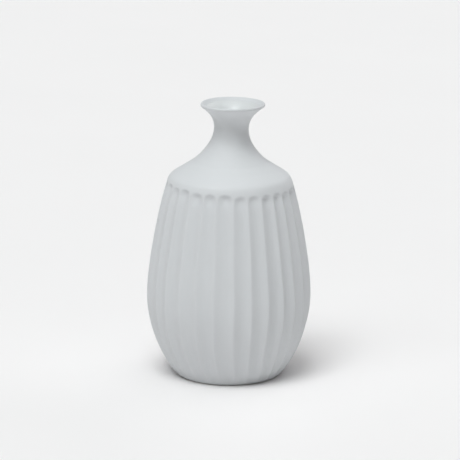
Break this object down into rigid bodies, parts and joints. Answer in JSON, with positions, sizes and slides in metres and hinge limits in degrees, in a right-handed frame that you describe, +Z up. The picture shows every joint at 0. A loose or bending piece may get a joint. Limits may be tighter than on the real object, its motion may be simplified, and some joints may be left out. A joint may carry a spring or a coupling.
{
  "type": "bud vase",
  "caption": "Hand-carved porcelain bud vase: fluted, bellied body under a smooth rolled shoulder, narrow neck and flared mouth, turned foot ring, and a gloss glaze lining inside",
  "frame": {"origin": "the middle of the footprint, on the surface the vase stands on", "axes": "+Z up along the axis the vase was thrown on; -Y is the side that faces the viewer; the neck leans a little toward +X"},
  "size_m": [0.0902, 0.0902, 0.152],
  "materials": {
    "bisque_porcelain": "smooth unglazed porcelain, white with a faint cool cast, softly matte, fine tooling marks",
    "clear_glaze": "clear gloss glaze over white porcelain"
  },
  "bodies": {
    "root": {"vase_wall": "bisque_porcelain", "glaze_lining": "clear_glaze"}
  },
  "joints": []
}
